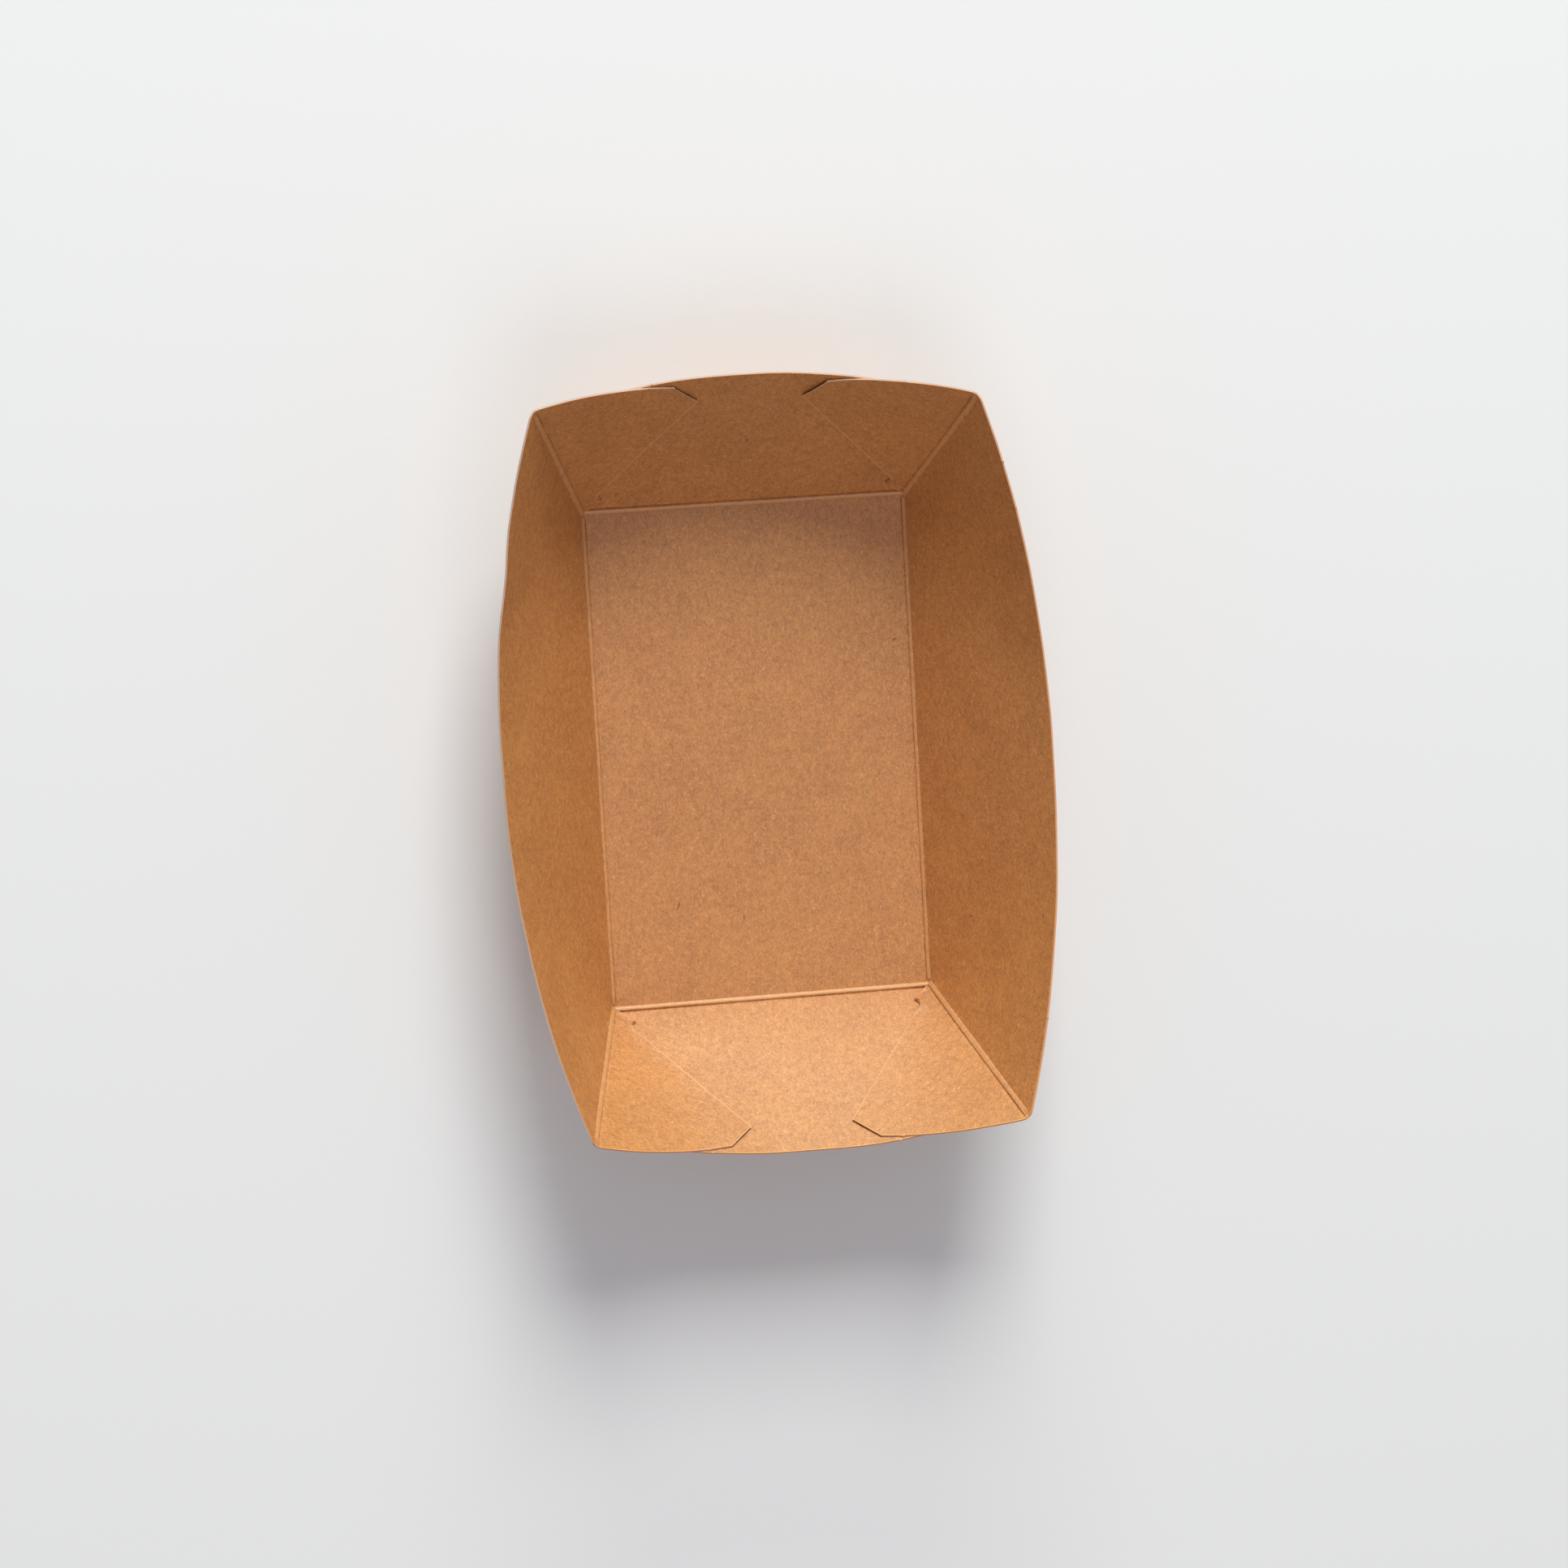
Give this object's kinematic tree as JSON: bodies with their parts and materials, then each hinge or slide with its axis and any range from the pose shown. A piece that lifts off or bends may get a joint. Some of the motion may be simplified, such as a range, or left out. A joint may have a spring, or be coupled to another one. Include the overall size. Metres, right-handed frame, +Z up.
{
  "type": "paper food tray",
  "caption": "Small open food tray folded from one sheet of kraft board, with flared bowed walls and glued corner flaps.",
  "frame": {"origin": "middle of the floor's underside, where the tray rests", "axes": "+Z up, +Y along the tray's length, +X across it"},
  "size_m": [0.1188, 0.168, 0.0438],
  "materials": {
    "kraft_board": "matte brown kraft board"
  },
  "bodies": {
    "root": {"tray": "kraft_board"}
  },
  "joints": []
}
